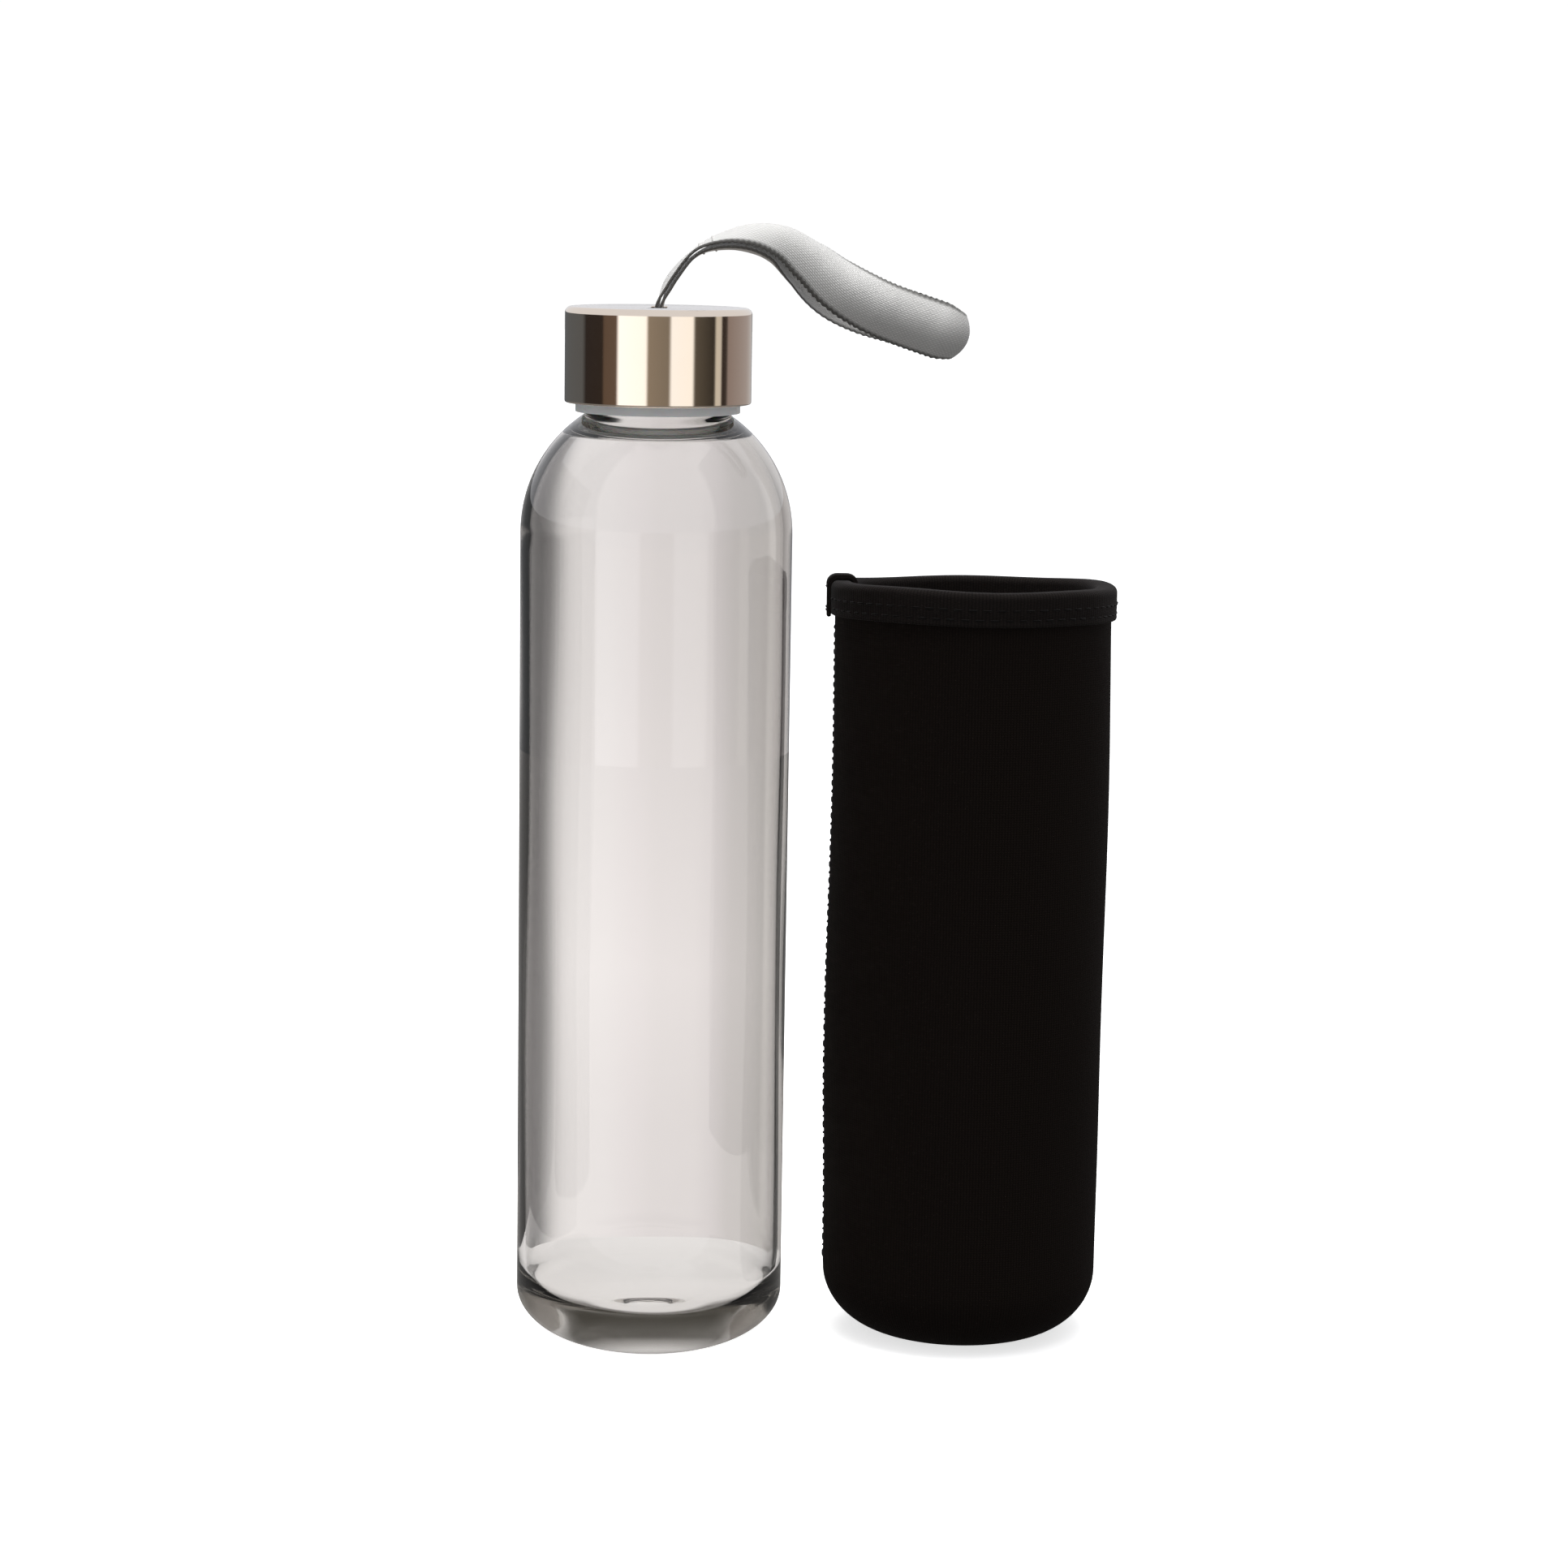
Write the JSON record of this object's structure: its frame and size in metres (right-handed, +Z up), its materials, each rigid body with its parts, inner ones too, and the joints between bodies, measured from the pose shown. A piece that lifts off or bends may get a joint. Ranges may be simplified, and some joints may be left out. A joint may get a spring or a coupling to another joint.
{
  "type": "glass water bottle",
  "caption": "Clear glass bottle with round shoulder, threaded neck, metal screw cap with carry strap, and a separate dark foam sleeve.",
  "frame": {"origin": "middle of the whole part's box at its base, on the surface that the bottle and the sleeve stand on", "axes": "+Z up along the bottle; +X from the bottle towards the sleeve; +Y to the back"},
  "size_m": [0.1334, 0.0728, 0.2511],
  "materials": {
    "glass": "clear, polished",
    "cap_metal": "polished champagne",
    "liner_plastic": "translucent, smooth",
    "seal_rubber": "matt silicone",
    "bar_steel": "satin",
    "webbing": "woven satin",
    "neoprene": "matt knitted face on foam",
    "binding": "matt ribbed"
  },
  "bodies": {
    "bottle": {"glass_bottle": "glass"},
    "seal": {"cap_seal": "seal_rubber"},
    "cap": {"cap_shell": "cap_metal", "cap_liner": "liner_plastic", "strap_anchor_bar": "bar_steel", "strap_tail": "webbing"},
    "strap": {"strap_loop": "webbing"},
    "sleeve": {"sleeve_body": "neoprene", "sleeve_base": "neoprene", "sleeve_hem": "binding", "sleeve_hem_tab": "binding", "sleeve_side_seam": "neoprene"}
  },
  "joints": [
    {"name": "cap_rise", "type": "slide", "parent": "bottle", "child": "seal", "axis": [0, 0, 1], "range_m": [0, 0.0301]},
    {"name": "cap_turn", "type": "hinge", "parent": "seal", "child": "cap", "pos_m": [-0.0367, -0.00644, 0.22329], "axis": [0, 0, 1], "range_deg": [0, 900]},
    {"name": "strap_swing", "type": "hinge", "parent": "cap", "child": "strap", "pos_m": [-0.0367, -0.00644, 0.23524], "axis": [0, 1, 0], "range_deg": [-95, 18]},
    {"name": "sleeve_slide", "type": "slide", "parent": "bottle", "child": "sleeve", "axis": [1, 0, 0], "range_m": [0, 0.12]}
  ],
  "couplings": [
    {"joint": "cap_rise", "follows": "cap_turn", "m_per_rad": 0.0019099}
  ]
}
